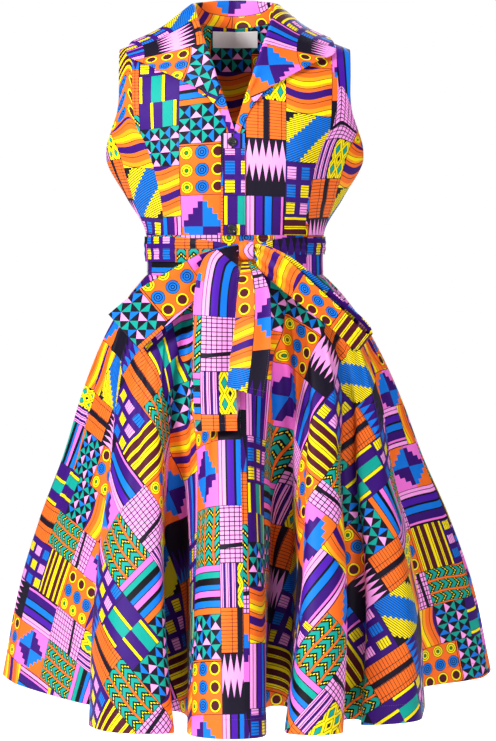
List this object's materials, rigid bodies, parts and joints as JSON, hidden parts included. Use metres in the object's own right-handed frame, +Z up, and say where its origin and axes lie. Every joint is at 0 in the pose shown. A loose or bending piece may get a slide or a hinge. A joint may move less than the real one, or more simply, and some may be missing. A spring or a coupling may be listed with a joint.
{
  "type": "sleeveless belted shirt dress",
  "caption": "Sleeveless printed cotton dress with a wide turned collar, V neck, buttoned front, tied waist sash and a full flared skirt in deep folds.",
  "frame": {"origin": "midway between the shoulder tips, at their height, where the wearer's shoulders hold the dress", "axes": "+X to the wearer's left, -Y out of the front, +Z up"},
  "size_m": [0.7371, 0.7438, 1.0108],
  "materials": {
    "print": "crisp printed cotton with a slight sheen",
    "button": "satin black",
    "label": "plain satin tape"
  },
  "bodies": {
    "root": {"front_right": "print", "front_left": "print", "side_front_right": "print", "side_front_left": "print", "back_bodice": "print", "collar": "print", "lapel_right": "print", "lapel_left": "print", "placket": "print", "button_upper": "button", "button_lower": "button", "neck_label": "label", "waistband_front_right": "print", "waistband_front_left": "print", "waistband_back": "print", "sash_round_waist": "print", "sash_knot": "print", "sash_loop_right": "print", "sash_loop_left": "print", "sash_tail_right": "print", "sash_tail_left": "print", "skirt_front_right": "print", "skirt_front_left": "print", "skirt_back_left": "print", "skirt_back_right": "print"}
  },
  "joints": []
}
